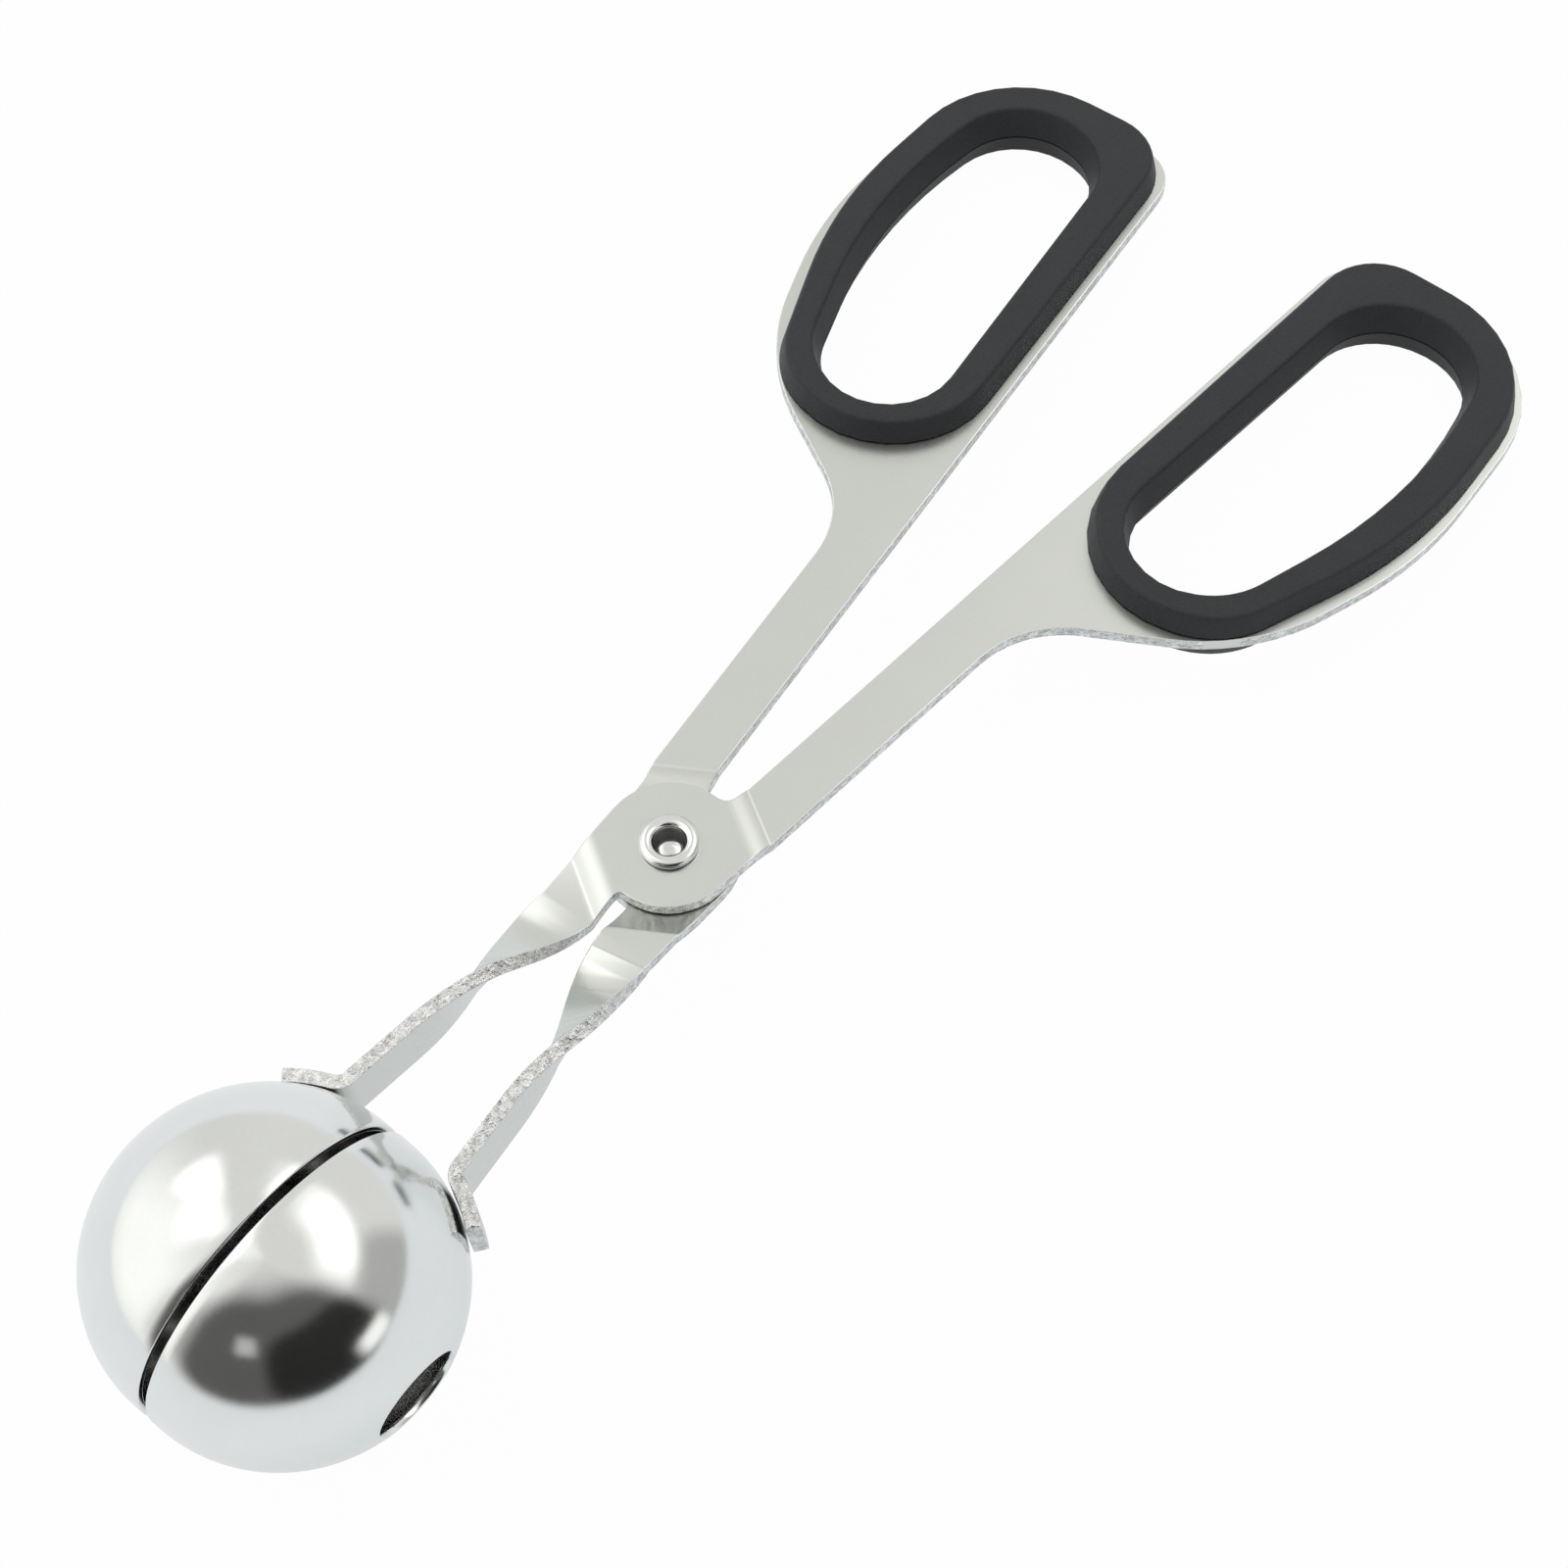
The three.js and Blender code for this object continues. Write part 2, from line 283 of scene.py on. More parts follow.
def grain_group() -> bpy.types.NodeTree:
    """Builds the fine grain that all finishes share.

    Returns:
        A group with Size and Patch in millimetres that puts out Grain and Cloud, both from 0 to 1.
    """
    found = bpy.data.node_groups.get("surface_grain")
    if found:
        return found
    tree = bpy.data.node_groups.new("surface_grain", "ShaderNodeTree")
    group_socket(tree, "Size", "Float", False, 0.3)
    group_socket(tree, "Patch", "Float", False, 12.0)
    group_socket(tree, "Grain", "Float", True)
    group_socket(tree, "Cloud", "Float", True)
    nodes, links = tree.nodes, tree.links
    inputs = nodes.new("NodeGroupInput")
    outputs = nodes.new("NodeGroupOutput")
    place = nodes.new("ShaderNodeTexCoord")
    for name, source, detail in (("Grain", "Size", GRAIN_DETAIL), ("Cloud", "Patch", CLOUD_DETAIL)):
        scale = nodes.new("ShaderNodeMath")
        scale.operation = "DIVIDE"
        scale.inputs[0].default_value = 1 / MM
        links.new(inputs.outputs[source], scale.inputs[1])
        noise = nodes.new("ShaderNodeTexNoise")
        noise.inputs["Detail"].default_value = detail
        noise.inputs["Roughness"].default_value = NOISE_ROUGHNESS
        links.new(place.outputs["Object"], noise.inputs["Vector"])
        links.new(scale.outputs[0], noise.inputs["Scale"])
        spread = nodes.new("ShaderNodeMapRange")
        spread.inputs["From Min"].default_value = NOISE_RANGE[0]
        spread.inputs["From Max"].default_value = NOISE_RANGE[1]
        links.new(noise.outputs["Fac"], spread.inputs["Value"])
        links.new(spread.outputs["Result"], outputs.inputs[name])
    return tree


def patch_group() -> bpy.types.NodeTree:
    """Builds a soft-edged patch of the studio's walls, seen by direction.

    Returns:
        A group with the patch's middle and half sizes that puts out a mask from 0 to 1.
    """
    tree = bpy.data.node_groups.new("studio_patch", "ShaderNodeTree")
    group_socket(tree, "Direction", "Vector", False)
    for name in ("Turn", "Height", "Half turn", "Half height", "Edge"):
        group_socket(tree, name, "Float", False, 0.0)
    group_socket(tree, "Mask", "Float", True)
    nodes, links = tree.nodes, tree.links
    inputs = nodes.new("NodeGroupInput")
    outputs = nodes.new("NodeGroupOutput")

    def math_node(operation: str, first: object, second: object = None) -> bpy.types.NodeSocket:
        """Adds a math node and gives its result; sockets are linked and numbers set."""
        node = nodes.new("ShaderNodeMath")
        node.operation = operation
        for index, value in enumerate((first, second)):
            if isinstance(value, (int, float)):
                node.inputs[index].default_value = value
            elif value is not None:
                links.new(value, node.inputs[index])
        return node.outputs[0]

    split = nodes.new("ShaderNodeSeparateXYZ")
    links.new(inputs.outputs["Direction"], split.inputs[0])
    turn = math_node("ARCTAN2", split.outputs["Y"], split.outputs["X"])
    away = math_node("SUBTRACT", turn, inputs.outputs["Turn"])
    wrapped = math_node("ARCTAN2", math_node("SINE", away), math_node("COSINE", away))
    lift = math_node("SUBTRACT", split.outputs["Z"], inputs.outputs["Height"])
    across = math_node("DIVIDE", wrapped, inputs.outputs["Half turn"])
    up = math_node("DIVIDE", lift, inputs.outputs["Half height"])
    across_part = math_node("POWER", math_node("ABSOLUTE", across), CORNER_POWER)
    up_part = math_node("POWER", math_node("ABSOLUTE", up), CORNER_POWER)
    radius = math_node("POWER", math_node("ADD", across_part, up_part), 1 / CORNER_POWER)
    ramp = nodes.new("ShaderNodeMapRange")
    ramp.interpolation_type = "SMOOTHSTEP"
    links.new(radius, ramp.inputs["Value"])
    links.new(math_node("ADD", 1.0, inputs.outputs["Edge"]), ramp.inputs["From Min"])
    links.new(math_node("SUBTRACT", 1.0, inputs.outputs["Edge"]), ramp.inputs["From Max"])
    links.new(ramp.outputs["Result"], outputs.inputs["Mask"])
    return tree


# Finishes


@dataclass(frozen=True)
class Finish:
    """A surface finish with grain in its colour, gloss and relief.

    Attributes:
        name: The material's name.
        dark: Colour in the hollows of the grain.
        light: Colour on its peaks.
        metallic: 1 for metal.
        gloss: Roughness in the hollows and on the peaks.
        grain: Size of the grain in millimetres.
        patch: Size of the larger clouding in millimetres.
        cloud: Share of the clouding in the roughness.
        relief: Depth of the grain in millimetres.
        shine: Strength of the reflection on what isn't metal.
    """

    name: str
    dark: tuple[float, float, float]
    light: tuple[float, float, float]
    metallic: float
    gloss: tuple[float, float]
    grain: float
    patch: float
    cloud: float
    relief: float
    shine: float = 0.5

    def material(self) -> bpy.types.Material:
        """Builds the material once.

        Returns:
            The material.
        """
        found = bpy.data.materials.get(self.name)
        if found:
            return found
        material = bpy.data.materials.new(self.name)
        material.use_nodes = True
        nodes, links = material.node_tree.nodes, material.node_tree.links
        shader = nodes["Principled BSDF"]
        shader.inputs["Metallic"].default_value = self.metallic
        shader.inputs["Specular IOR Level"].default_value = self.shine
        grain = nodes.new("ShaderNodeGroup")
        grain.node_tree = grain_group()
        grain.inputs["Size"].default_value = self.grain
        grain.inputs["Patch"].default_value = self.patch
        colour = nodes.new("ShaderNodeMix")
        colour.data_type = "RGBA"
        colour.inputs["A"].default_value = (*self.dark, 1)
        colour.inputs["B"].default_value = (*self.light, 1)
        blend = nodes.new("ShaderNodeMix")
        blend.data_type = "FLOAT"
        blend.inputs["Factor"].default_value = self.cloud
        links.new(grain.outputs["Grain"], blend.inputs["A"])
        links.new(grain.outputs["Cloud"], blend.inputs["B"])
        links.new(blend.outputs["Result"], colour.inputs["Factor"])
        links.new(colour.outputs["Result"], shader.inputs["Base Color"])
        gloss = nodes.new("ShaderNodeMapRange")
        gloss.inputs["To Min"].default_value = self.gloss[0]
        gloss.inputs["To Max"].default_value = self.gloss[1]
        links.new(blend.outputs["Result"], gloss.inputs["Value"])
        links.new(gloss.outputs["Result"], shader.inputs["Roughness"])
        bump = nodes.new("ShaderNodeBump")
        bump.inputs["Strength"].default_value = 1.0
        bump.inputs["Distance"].default_value = self.relief * MM
        links.new(grain.outputs["Grain"], bump.inputs["Height"])
        links.new(bump.outputs["Normal"], shader.inputs["Normal"])
        return material


SATIN_STEEL = Finish(
    name="satin_steel",
    dark=(0.675, 0.69, 0.665),
    light=(0.7, 0.715, 0.69),
    metallic=1.0,
    gloss=(0.27, 0.3),
    grain=0.3,
    patch=9.0,
    cloud=0.35,
    relief=0.0002,
)
SHEARED_STEEL = Finish(
    name="sheared_steel",
    dark=(0.42, 0.43, 0.43),
    light=(1.0, 1.0, 0.99),
    metallic=1.0,
    gloss=(0.12, 0.4),
    grain=0.95,
    patch=4.0,
    cloud=0.2,
    relief=0.3,
)
POLISHED_STEEL = Finish(
    name="polished_steel",
    dark=(0.77, 0.78, 0.775),
    light=(0.83, 0.84, 0.84),
    metallic=1.0,
    gloss=(0.1, 0.18),
    grain=0.5,
    patch=14.0,
    cloud=0.7,
    relief=0.0006,
)
# Painted shade: the cups' inside is a darker steel than their outside, so that the gap between the rims
# and the hole at the pole read dark.
PAINTED_SHADE_INNER_STEEL = Finish(
    name="painted_shade_inner_steel",
    dark=(0.36, 0.36, 0.355),
    light=(0.48, 0.48, 0.475),
    metallic=1.0,
    gloss=(0.16, 0.24),
    grain=0.8,
    patch=8.0,
    cloud=0.6,
    relief=0.0006,
)
# Painted shade: a dark steel on the wall of the rivet's hollow, darker than the polished floor; its
# rougher grain is the wall's own.
PAINTED_SHADE_BORE_STEEL = Finish(
    name="painted_shade_bore_steel",
    dark=(0.2, 0.2, 0.2),
    light=(0.34, 0.34, 0.335),
    metallic=1.0,
    gloss=(0.35, 0.55),
    grain=0.6,
    patch=8.0,
    cloud=0.4,
    relief=0.01,
)
MATT_PLASTIC = Finish(
    name="matt_plastic",
    dark=(0.02, 0.021, 0.0235),
    light=(0.036, 0.038, 0.042),
    metallic=0.0,
    gloss=(0.42, 0.6),
    grain=0.28,
    patch=11.0,
    cloud=0.25,
    relief=0.03,
    shine=0.2,
)


# Sub-assemblies


@dataclass
class Arm:
    """A stamped arm with softened edges, satin faces and bright sheared sides.

    Attributes:
        half: The half of the tool.
        sheet: Sheet thickness in millimetres.
        edge: The softened edge.
        shade_angle: Corners up to this many degrees are shaded smooth.
        probe: Depth below a face from which the sheet is measured in millimetres.
        across_share: A face with more steel behind it, in sheets, lies across the sheet.
    """

    half: Half
    sheet: float = 2.0
    edge: SoftEdge = SoftEdge(0.22, 2, 40)
    shade_angle: float = 32.0
    probe: float = 0.05
    across_share: float = 1.4

    def build(self) -> bpy.types.Object:
        """Models the arm.

        Returns:
            The arm's object.
        """
        node = f"arm_{self.half.value}"
        piece = traced(node, f"stamped_arm_{self.half.value}")
        piece.data.materials.append(SATIN_STEEL.material())
        piece.data.materials.append(SHEARED_STEEL.material())
        self.mark_sheared_sides(piece)
        join_flat_faces(piece)
        self.edge.apply(piece)
        smooth(piece, self.shade_angle)
        even_faces(piece)
        dress(piece, self.half, Slot.STEEL, node)
        return piece

    def mark_sheared_sides(self, piece: bpy.types.Object) -> None:
        """Gives the faces across the sheet the sheared finish.

        Args:
            piece: The arm before its edges are softened.
        """
        for face in piece.data.polygons:
            start = face.center - face.normal * self.probe * MM
            hit, where, _, _ = piece.ray_cast(start, -face.normal)
            across = not hit or (where - start).length > self.across_share * self.sheet * MM
            face.material_index = int(across)


@dataclass
class Cup:
    """A half-ball cup with a straight skirt at its rim and a round hole at its pole.

    Attributes:
        half: The half of the tool.
        plane: The tool's plane.
        radius: Outer radius in millimetres.
        wall: Wall thickness in millimetres.
        skirt: Height of the skirt in millimetres.
        gap: Gap between both rims in millimetres.
        hole: Radius of the pole's hole in millimetres.
        distance: From the pivot to the ball's middle in millimetres.
        lean: Lean of the rims in degrees.
        edge: The rounded edges.
        around: Faces around the ball.
        rings: Rings of the whole ball.
        shade_angle: Corners up to this many degrees are shaded smooth.
        rim_reach: Farthest that a point of the rim lies from the cut in millimetres.
    """

    half: Half
    plane: ToolPlane
    radius: float = 22.0
    wall: float = 1.0
    skirt: float = 1.4
    gap: float = 1.2
    hole: float = 6.1
    distance: float = BALL_DISTANCE
    lean: float = 5.5
    edge: SoftEdge = SoftEdge(0.25, 3, 50, clamp=True)
    around: int = 160
    rings: int = 96
    shade_angle: float = 40.0
    rim_reach: float = 0.01

    def build(self) -> bpy.types.Object:
        """Models the cup.

        Returns:
            The cup's object.
        """
        deselect()
        bpy.ops.mesh.primitive_uv_sphere_add(
            segments=self.around, ring_count=self.rings, radius=self.radius * MM
        )
        piece = bpy.context.object
        piece.name = f"half_ball_{self.half.value}"
        piece.data.materials.append(POLISHED_STEEL.material())
        piece.data.materials.append(PAINTED_SHADE_INNER_STEEL.material())
        edit_all(piece)
        bpy.ops.mesh.bisect(plane_co=(0, 0, 0), plane_no=(0, 0, 1), clear_inner=True)
        bpy.ops.mesh.select_all(action="SELECT")
        top = math.sqrt(self.radius**2 - self.hole**2) * MM
        bpy.ops.mesh.bisect(plane_co=(0, 0, top), plane_no=(0, 0, 1), clear_outer=True)
        self.select_rim(piece)
        bpy.ops.mesh.extrude_edges_move(TRANSFORM_OT_translate={"value": (0, 0, -self.skirt * MM)})
        bpy.ops.mesh.select_all(action="SELECT")
        bpy.ops.mesh.normals_make_consistent(inside=False)
        bpy.ops.object.mode_set(mode="OBJECT")
        # The inside of the wall takes the second, darker steel: painted shade of the hollow ball.
        apply_modifier(piece, "SOLIDIFY", thickness=self.wall * MM, offset=-1, material_offset=1)
        self.edge.apply(piece)
        settle(piece, self.place())
        smooth(piece, self.shade_angle)
        dress(piece, self.half, Slot.POLISHED, f"cup_{self.half.value}")
        return piece

    def select_rim(self, piece: bpy.types.Object) -> None:
        """Selects the open edges at the rim, in edit mode.

        Args:
            piece: The cup's object.
        """
        bpy.ops.mesh.select_all(action="DESELECT")
        bpy.ops.object.mode_set(mode="OBJECT")
        points = piece.data.vertices
        for edge in piece.data.edges:
            edge.select = all(abs(points[index].co.z) < self.rim_reach * MM for index in edge.vertices)
        bpy.ops.object.mode_set(mode="EDIT")

    def place(self) -> Matrix:
        """Gives the cup's place: the pole turned outwards, leaned and set at the ball's middle.

        Returns:
            The matrix from the cup's own axes to the frame.
        """
        rise = Matrix.Translation((0, 0, (self.gap / 2 + self.skirt) * MM))
        outwards = Matrix.Rotation(-math.pi / 2, 4, "X")
        lean = Matrix.Rotation(math.radians(self.lean), 4, "X")
        middle = Matrix.Translation((-self.distance * MM, 0, 0))
        return self.plane.matrix(self.half) @ middle @ lean @ outwards @ rise


@dataclass
class Grip:
    """A finger grip of two half rings that clamp the loop's plate.

    Attributes:
        half: The half of the tool.
        edge: The softened edges.
        shade_angle: Corners up to this many degrees are shaded smooth.
    """

    half: Half
    edge: SoftEdge = SoftEdge(0.15, 2, 35)
    shade_angle: float = 38.0

    def build(self) -> list[bpy.types.Object]:
        """Models both half rings.

        Returns:
            The two objects.
        """
        pieces = []
        for side in ("top", "bottom"):
            node = f"grip_{self.half.value}_{side}"
            piece = traced(node, f"finger_{node}")
            join_flat_faces(piece)
            self.edge.apply(piece)
            smooth(piece, self.shade_angle)
            even_faces(piece)
            piece.data.materials.append(MATT_PLASTIC.material())
            dress(piece, self.half, Slot.GRIP, node)
            pieces.append(piece)
        return pieces


@dataclass
class Rivet:
    """The hollow rivet: a rolled ring above, a shank through both arms and a low head below.

    Attributes:
        plane: The tool's plane.
        seat: Height of the ring's and the head's seats from the middle in millimetres.
        shank: Radius of the shank in millimetres.
        bore: Radius of the hollow in millimetres.
        floor: Height of the hollow's floor in millimetres.
        ring: Outer radius of the rolled ring in millimetres.
        ring_height: Height of the rolled ring in millimetres.
        head: Radius of the head in millimetres.
        head_height: Height of the head in millimetres.
        band: Height of the straight band at the foot of the ring and of the head in millimetres.
        chamfer: Step-in of that band at its seat in millimetres.
        tip: Radius at which the turned outline starts and ends in millimetres.
        dish: Share of the bore's radius and height over the floor, in millimetres, up to the bore's wall.
        painted_shade_foot: Height over the floor where the painted shade on the hollow's wall starts in
            millimetres.
        roll_steps: Faces over the rolled ring.
        dome_steps: Faces over the head.
        around: Faces around the rivet.
        shade_angle: Corners up to this many degrees are shaded smooth.
    """

    plane: ToolPlane
    seat: float = 2.35
    shank: float = 2.9
    bore: float = 2.2
    floor: float = -0.8
    ring: float = 4.1
    ring_height: float = 1.1
    head: float = 4.8
    head_height: float = 1.3
    band: float = 0.3
    chamfer: float = 0.1
    tip: float = 0.02
    dish: tuple[tuple[float, float], ...] = ((0.5, 0.08), (0.85, 0.3), (1.0, 0.7))
    painted_shade_foot: float = 0.2
    roll_steps: int = 14
    dome_steps: int = 10
    around: int = 96
    shade_angle: float = 40.0

    def profile(self) -> list[tuple[float, float]]:
        """Gives the turned outline from the floor of the hollow to the middle of the head.

        Returns:
            Radius and height of each turned edge in millimetres.
        """
        roll_middle = (self.bore + self.ring) / 2
        roll_half = (self.ring - self.bore) / 2
        roll_base = self.seat + self.band
        roll_rise = self.ring_height - self.band
        head_base = -self.seat - self.band
        head_drop = self.head_height - self.band
        roll = [math.pi * (1 - step / self.roll_steps) for step in range(self.roll_steps + 1)]
        dome = [math.pi / 2 * step / self.dome_steps for step in range(self.dome_steps + 1)]
        return [
            (self.tip, self.floor),
            *((share * self.bore, self.floor + height) for share, height in self.dish),
            *(
                (roll_middle + roll_half * math.cos(angle), roll_base + roll_rise * math.sin(angle))
                for angle in roll
            ),
            (self.ring - self.chamfer, self.seat),
            (self.shank, self.seat),
            (self.shank, -self.seat),
            (self.head - self.chamfer, -self.seat),
            *(
                (max(self.tip, self.head * math.cos(angle)), head_base - head_drop * math.sin(angle))
                for angle in dome
            ),
        ]

    def build(self) -> bpy.types.Object:
        """Models the rivet.

        Returns:
            The rivet's object.
        """
        profile = self.profile()
        radius, height = profile[0]
        deselect()
        bpy.ops.mesh.primitive_circle_add(
            vertices=self.around, radius=radius * MM, fill_type="NGON", location=(0, 0, height * MM)
        )
        piece = bpy.context.object
        piece.name = "hollow_rivet"
        settle(piece, piece.matrix_world.copy())
        edit_all(piece)
        for next_radius, next_height in profile[1:]:
            bpy.ops.mesh.extrude_region_move(
                TRANSFORM_OT_translate={"value": (0, 0, (next_height - height) * MM)}
            )
            share = next_radius / radius
            bpy.ops.transform.resize(value=(share, share, 1), center_override=(0, 0, 0))
            radius, height = next_radius, next_height
        bpy.ops.mesh.select_all(action="SELECT")
        bpy.ops.mesh.normals_make_consistent(inside=False)
        bpy.ops.object.mode_set(mode="OBJECT")
        piece.data.materials.append(POLISHED_STEEL.material())
        piece.data.materials.append(PAINTED_SHADE_BORE_STEEL.material())
        # The wall of the hollow takes the dark steel of painted shade.
        self.mark_bore(piece)
        settle(piece, self.plane.matrix(Half.UPPER))
        smooth(piece, self.shade_angle)
        dress(piece, Half.UPPER, Slot.POLISHED, "rivet")
        return piece

    def mark_bore(self, piece: bpy.types.Object) -> None:
        """Gives the wall of the hollow the dark, rough steel that paints its shade.

        Args:
            piece: The rivet before it is put in place.
        """
        foot = self.floor + self.painted_shade_foot
        for face in piece.data.polygons:
            middle = face.center / MM
            inside = math.hypot(middle.x, middle.y) < self.bore + self.tip
            face.material_index = int(inside and foot < middle.z < self.seat + self.band)


# Studio


@dataclass(frozen=True)
class WallPatch:
    """A patch of the studio's walls.

    Attributes:
        turn: Direction of its middle from +X towards +Y in degrees.
        height: Sine of its middle's elevation.
        half_turn: Half its width in degrees.
        half_height: Half its height, as a sine.
        edge: Softness of its edge as a share of its size.
        level: Brightness.
    """

    turn: float
    height: float
    half_turn: float
    half_height: float
    edge: float
    level: float


@dataclass
class Studio:
    """White table, soft studio walls, a dark screen about the ball, a lamp and the camera.

    Attributes:
        plane: The tool's plane.
        ball: From the pivot to the ball's middle in millimetres.
        walls: Brightness of the walls.
        patches: Darker and brighter patches of the walls, each over the ones before it.
        screen: Patches of the screen about the ball, in the same order.
        screen_radius: Distance of the screen from the ball's middle in metres.
        screen_around: Faces around the screen.
        screen_rings: Rings of the screen.
        eye: Place of the camera in millimetres.
        turn: Turn of the camera in degrees.
        lens: Focal length in millimetres.
        sensor: Width of the sensor in millimetres.
        near: Nearest distance that the camera sees in metres.
        wall_tint: Colour of the walls.
        table_size: Side of the table in metres.
        table_drop: Depth of the table under the tool in millimetres.
        table_paint: Grey of the table's paint, which takes the shadow.
        table_tint: Colour of the table in reflections.
        plain_share: Share of plain white in the table as the camera sees it.
        mirror_share: Share of the tint in the table as reflections show it.
        lamp_size: Width of the lamp in metres.
        lamp_power: Power of the lamp in watts.
        lamp_place: Place of the lamp in metres.
    """

    plane: ToolPlane
    ball: float = BALL_DISTANCE
    walls: float = 0.8
    patches: tuple[WallPatch, ...] = (
        WallPatch(-50, 0.12, 23, 0.42, 0.3, 0.48),
        WallPatch(128, 0.42, 40, 0.45, 0.6, 1.22),
        WallPatch(-23, 0.71, 32, 0.13, 0.7, 1.9),
        WallPatch(77, 0.68, 13, 0.15, 0.7, 1.9),
        WallPatch(99, 0.86, 25, 0.11, 0.7, 1.6),
    )
    screen: tuple[WallPatch, ...] = (
        WallPatch(-134, 0.48, 61, 0.46, 0.16, 0.11),
        WallPatch(-107, 0.36, 35, 0.34, 0.16, 0.018),
        WallPatch(-154, 0.62, 7, 0.07, 0.6, 0.55),
        WallPatch(-81, 0.15, 11, 0.09, 0.5, 1.2),
    )
    screen_radius: float = 0.2
    screen_around: int = 64
    screen_rings: int = 32
    eye: tuple[float, float, float] = (-109.5, -110.48, 299.02)
    turn: tuple[float, float, float] = (26.963, 3.844, -51.592)
    lens: float = 54.0
    sensor: float = 36.0
    near: float = 0.01
    wall_tint: tuple[float, float, float] = (1.0, 1.0, 0.965)
    table_size: float = 6.0
    table_drop: float = 0.02
    table_paint: float = 0.5
    table_tint: tuple[float, float, float] = (1.14, 1.19, 1.22)
    plain_share: float = 0.98
    mirror_share: float = 0.5
    lamp_size: float = 0.5
    lamp_power: float = 2.0
    lamp_place: tuple[float, float, float] = (0.15, 0.45, 0.7)

    def build(self) -> None:
        """Sets up the whole studio."""
        bpy.context.scene.view_settings.view_transform = "Standard"
        self.add_camera()
        self.add_table()
        tree = patch_group()
        self.add_walls(tree)
        self.add_screen(tree)
        self.add_lamp()

    def add_camera(self) -> None:
        """Adds the camera at the photograph's angle."""
        data = bpy.data.cameras.new("camera")
        data.lens = self.lens
        data.sensor_width = self.sensor
        data.clip_start = self.near
        camera = bpy.data.objects.new("camera", data)
        camera.location = Vector(self.eye) * MM
        camera.rotation_euler = Euler([math.radians(angle) for angle in self.turn])
        bpy.context.scene.collection.objects.link(camera)
        bpy.context.scene.camera = camera

    def add_table(self) -> None:
        """Adds the white table under the tool."""
        deselect()
        bpy.ops.mesh.primitive_plane_add(size=self.table_size, location=(0, 0, -self.table_drop * MM))
        table = bpy.context.object
        table.name = "table"
        material = bpy.data.materials.new("white_table")
        material.use_nodes = True
        nodes, links = material.node_tree.nodes, material.node_tree.links
        nodes.clear()
        paint = nodes.new("ShaderNodeBsdfDiffuse")
        paint.inputs["Color"].default_value = (self.table_paint, self.table_paint, self.table_paint, 1)
        glow = nodes.new("ShaderNodeEmission")
        path = nodes.new("ShaderNodeLightPath")
        colour = nodes.new("ShaderNodeMix")
        colour.data_type = "RGBA"
        colour.inputs["A"].default_value = (*self.table_tint, 1)
        colour.inputs["B"].default_value = (1, 1, 1, 1)
        links.new(path.outputs["Is Camera Ray"], colour.inputs["Factor"])
        links.new(colour.outputs["Result"], glow.inputs["Color"])
        mirrored = nodes.new("ShaderNodeMath")
        mirrored.operation = "MULTIPLY"
        mirrored.inputs[1].default_value = self.mirror_share
        links.new(path.outputs["Is Glossy Ray"], mirrored.inputs[0])
        share = nodes.new("ShaderNodeMath")
        share.operation = "MULTIPLY_ADD"
        share.inputs[1].default_value = self.plain_share
        links.new(path.outputs["Is Camera Ray"], share.inputs[0])
        links.new(mirrored.outputs[0], share.inputs[2])
        mix = nodes.new("ShaderNodeMixShader")
        links.new(share.outputs[0], mix.inputs["Fac"])
        links.new(paint.outputs[0], mix.inputs[1])
        links.new(glow.outputs[0], mix.inputs[2])
        output = nodes.new("ShaderNodeOutputMaterial")
        links.new(mix.outputs[0], output.inputs["Surface"])
        table.data.materials.append(material)

    @staticmethod
    def layered(
        tree: bpy.types.NodeTree,
        patch_tree: bpy.types.NodeTree,
        direction: bpy.types.NodeSocket,
        patches: tuple[WallPatch, ...],
        ground: float,
        levels: tuple[float, ...],
    ) -> bpy.types.NodeSocket:
        """Lays patches over a plain ground, each over the ones before it.

        Args:
            tree: The node tree that takes the patches.
            patch_tree: The group of one patch.
            direction: The direction in which the patches are seen.
            patches: The patches.
            ground: The value around them.
            levels: The value of each patch.

        Returns:
            The value as seen in that direction.
        """
        value: bpy.types.NodeSocket | None = None
        for patch, level in zip(patches, levels):
            mask = tree.nodes.new("ShaderNodeGroup")
            mask.node_tree = patch_tree
            tree.links.new(direction, mask.inputs["Direction"])
            mask.inputs["Turn"].default_value = math.radians(patch.turn)
            mask.inputs["Height"].default_value = patch.height
            mask.inputs["Half turn"].default_value = math.radians(patch.half_turn)
            mask.inputs["Half height"].default_value = patch.half_height
            mask.inputs["Edge"].default_value = patch.edge
            mix = tree.nodes.new("ShaderNodeMix")
            mix.data_type = "FLOAT"
            mix.inputs["A"].default_value = ground
            mix.inputs["B"].default_value = level
            tree.links.new(mask.outputs["Mask"], mix.inputs["Factor"])
            if value is not None:
                tree.links.new(value, mix.inputs["A"])
            value = mix.outputs["Result"]
        return value

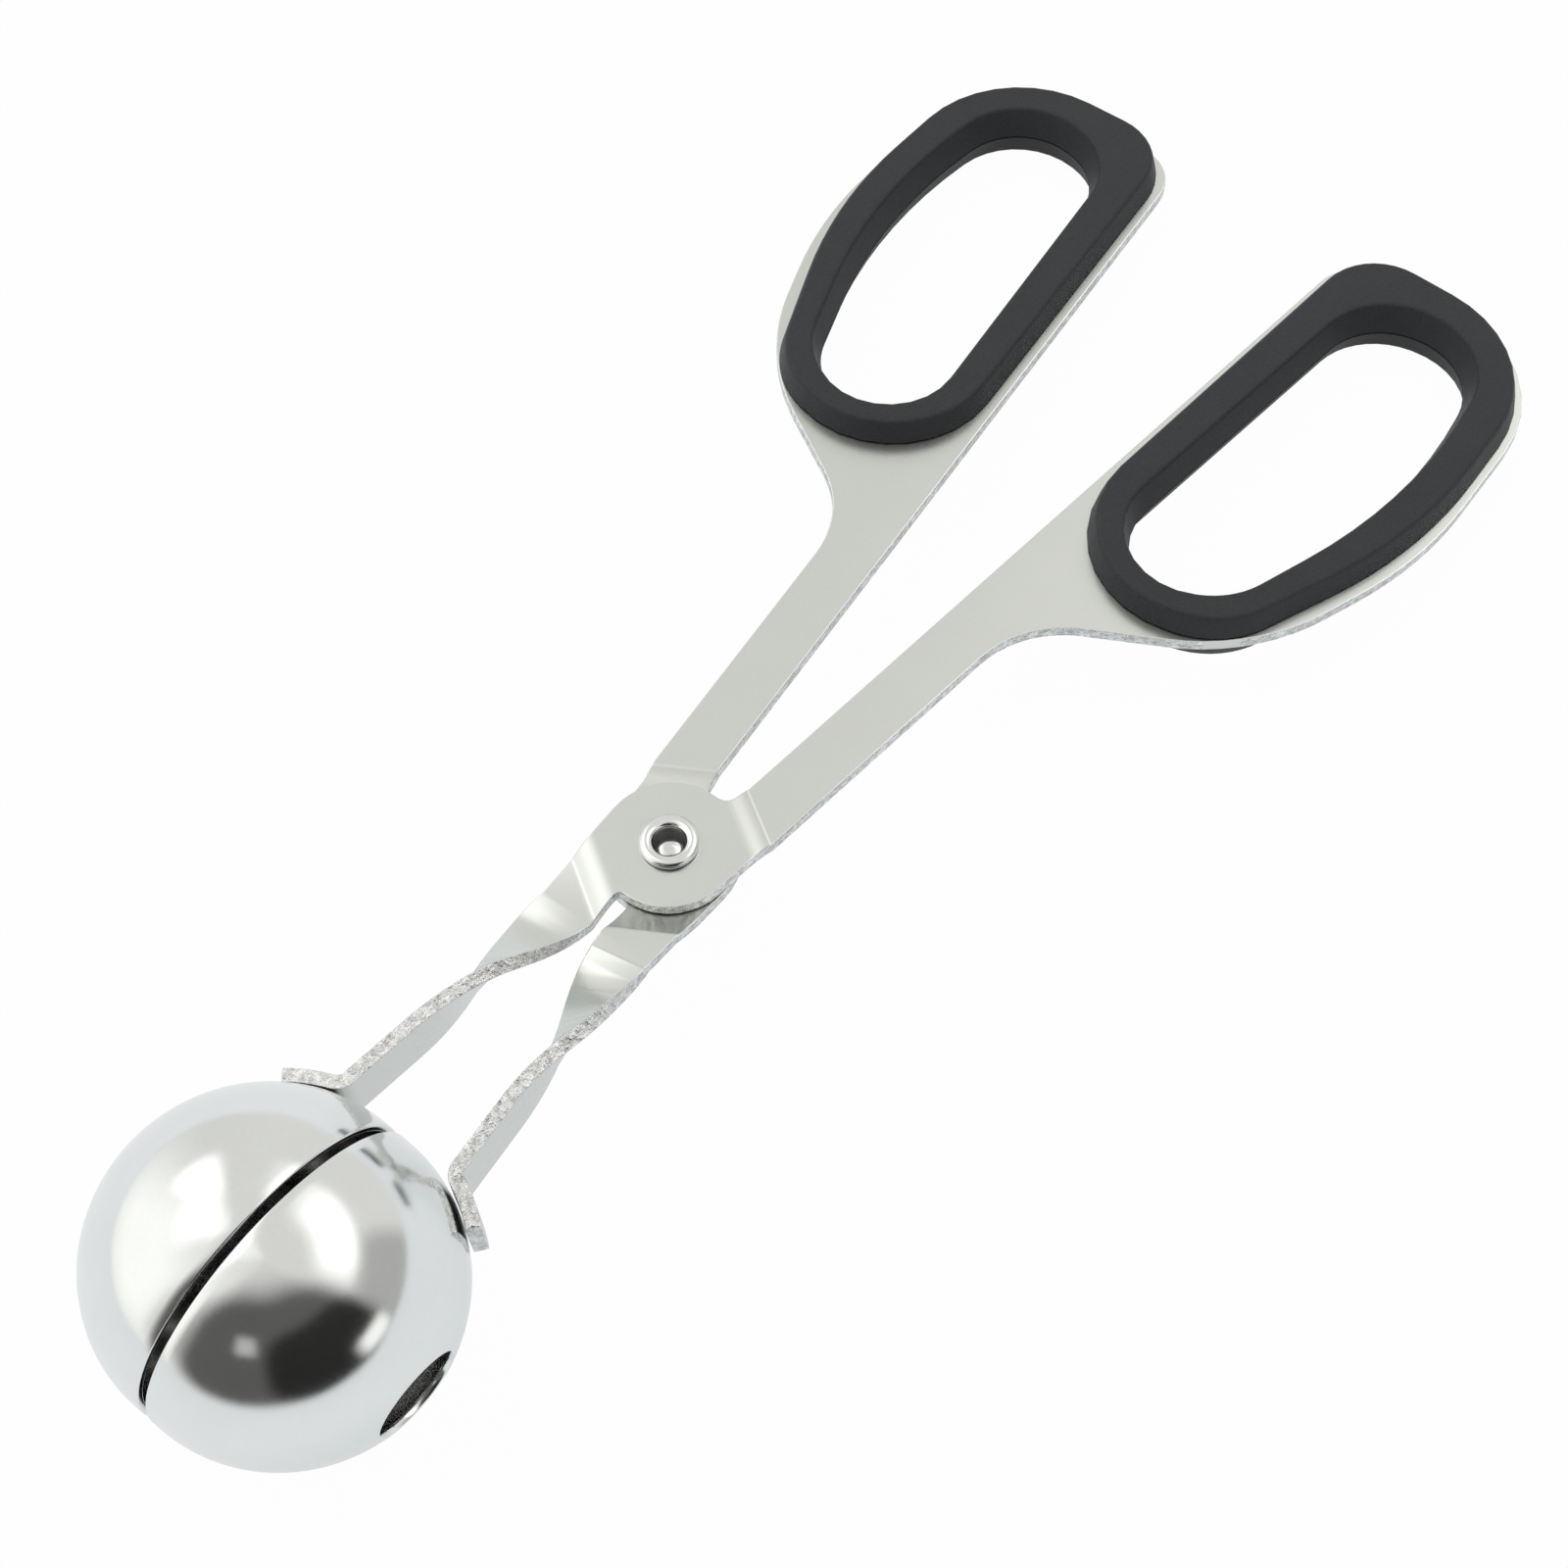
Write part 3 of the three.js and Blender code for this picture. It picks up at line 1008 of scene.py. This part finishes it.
    def add_screen(self, patch_tree: bpy.types.NodeTree) -> None:
        """Adds the dark screen about the ball, which shows in reflections alone.

        Args:
            patch_tree: The group of one patch.
        """
        deselect()
        along = self.plane.matrix(Half.UPPER).to_3x3().col[0]
        middle = self.plane.pivot - along * self.ball * MM
        bpy.ops.mesh.primitive_uv_sphere_add(
            segments=self.screen_around, ring_count=self.screen_rings, radius=1, location=middle
        )
        screen = bpy.context.object
        screen.name = "dark_screen"
        screen.scale = (self.screen_radius,) * 3
        screen.visible_camera = False
        screen.visible_diffuse = False
        screen.visible_transmission = False
        screen.visible_shadow = False
        material = bpy.data.materials.new("dark_screen")
        material.use_nodes = True
        tree = material.node_tree
        nodes, links = tree.nodes, tree.links
        nodes.clear()
        direction = nodes.new("ShaderNodeTexCoord").outputs["Object"]
        brightness = tuple(patch.level for patch in self.screen)
        glow = nodes.new("ShaderNodeEmission")
        glow.inputs["Color"].default_value = (*self.wall_tint, 1)
        level = self.layered(tree, patch_tree, direction, self.screen, brightness[0], brightness)
        links.new(level, glow.inputs["Strength"])
        solid = self.layered(tree, patch_tree, direction, self.screen, 0.0, (1.0,) * len(self.screen))
        mix = nodes.new("ShaderNodeMixShader")
        links.new(solid, mix.inputs["Fac"])
        links.new(nodes.new("ShaderNodeBsdfTransparent").outputs[0], mix.inputs[1])
        links.new(glow.outputs[0], mix.inputs[2])
        output = nodes.new("ShaderNodeOutputMaterial")
        links.new(mix.outputs[0], output.inputs["Surface"])
        screen.data.materials.append(material)

    def add_walls(self, patch_tree: bpy.types.NodeTree) -> None:
        """Builds the walls as the world, plain white for the camera itself.

        Args:
            patch_tree: The group of one patch.
        """
        world = bpy.data.worlds.new("studio")
        bpy.context.scene.world = world
        world.use_nodes = True
        tree = world.node_tree
        nodes, links = tree.nodes, tree.links
        nodes.clear()
        direction = nodes.new("ShaderNodeTexCoord").outputs["Generated"]
        brightness = tuple(patch.level for patch in self.patches)
        level = self.layered(tree, patch_tree, direction, self.patches, self.walls, brightness)
        walls = nodes.new("ShaderNodeBackground")
        walls.inputs["Color"].default_value = (*self.wall_tint, 1)
        links.new(level, walls.inputs["Strength"])
        plain = nodes.new("ShaderNodeBackground")
        plain.inputs["Color"].default_value = (1, 1, 1, 1)
        path = nodes.new("ShaderNodeLightPath")
        mix = nodes.new("ShaderNodeMixShader")
        links.new(path.outputs["Is Camera Ray"], mix.inputs["Fac"])
        links.new(walls.outputs[0], mix.inputs[1])
        links.new(plain.outputs[0], mix.inputs[2])
        output = nodes.new("ShaderNodeOutputWorld")
        links.new(mix.outputs[0], output.inputs["Surface"])

    def add_lamp(self) -> None:
        """Adds a soft lamp above the handles."""
        data = bpy.data.lights.new("soft_lamp", "AREA")
        data.shape = "DISK"
        data.size = self.lamp_size
        data.energy = self.lamp_power
        lamp = bpy.data.objects.new("soft_lamp", data)
        lamp.visible_glossy = False
        lamp.location = self.lamp_place
        lamp.rotation_euler = (-lamp.location).to_track_quat("-Z", "Y").to_euler()
        bpy.context.scene.collection.objects.link(lamp)


def main() -> None:
    """Builds the pieces and the studio."""
    logging.basicConfig(level=logging.INFO, format="%(name)s %(message)s")
    plane = ToolPlane.from_joint(frame["joints"][0])
    for half in Half:
        Arm(half).build()
        Cup(half, plane).build()
        Grip(half).build()
    Rivet(plane).build()
    Studio(plane).build()
    deselect()


if __name__ == "__main__":
    main()
